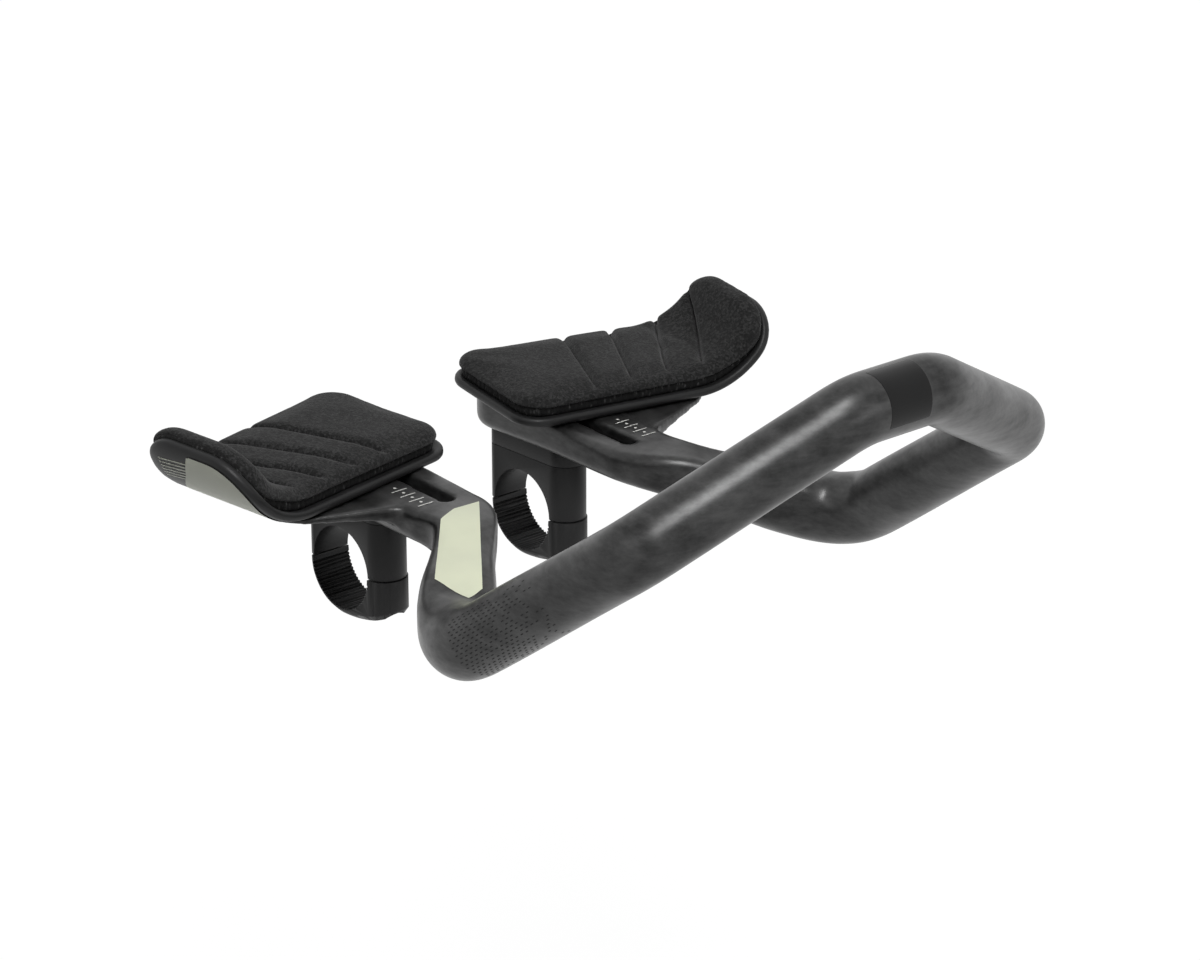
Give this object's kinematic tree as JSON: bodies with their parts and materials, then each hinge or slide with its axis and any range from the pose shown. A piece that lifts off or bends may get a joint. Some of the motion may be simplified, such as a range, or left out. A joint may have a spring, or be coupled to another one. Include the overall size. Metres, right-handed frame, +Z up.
{
  "type": "loop_handlebar_extension",
  "caption": "One-piece loop extension for a bicycle handlebar, on two bar clamps, with two padded arm rests beside it",
  "frame": {"origin": "on the handlebar's axis, midway between the two clamps", "axes": "+X to the rider's left along the handlebar, +Y backward towards the rider, +Z up"},
  "size_m": [0.2718, 0.2719, 0.1443],
  "materials": {
    "moulded_composite": "satin",
    "black_alloy": "black anodised, satin",
    "bolt_steel": "black oxide",
    "tray_plastic": "satin",
    "hook_strip": "matte",
    "pad_fabric": "matte knit"
  },
  "bodies": {
    "root": {"loop_extension": "moulded_composite", "left_clamp_upper": "black_alloy", "left_clamp_cap": "black_alloy", "left_riser_spacer": "black_alloy", "left_cap_bolt": "bolt_steel", "left_cap_washer": "bolt_steel", "left_tray_bolts": "bolt_steel", "left_tray_washers": "bolt_steel", "left_arm_tray": "tray_plastic", "left_pad_strips": "hook_strip", "left_arm_pad": "pad_fabric", "right_clamp_upper": "black_alloy", "right_clamp_cap": "black_alloy", "right_riser_spacer": "black_alloy", "right_cap_bolt": "bolt_steel", "right_cap_washer": "bolt_steel", "right_tray_bolts": "bolt_steel", "right_tray_washers": "bolt_steel", "right_arm_tray": "tray_plastic", "right_pad_strips": "hook_strip", "right_arm_pad": "pad_fabric"}
  },
  "joints": []
}
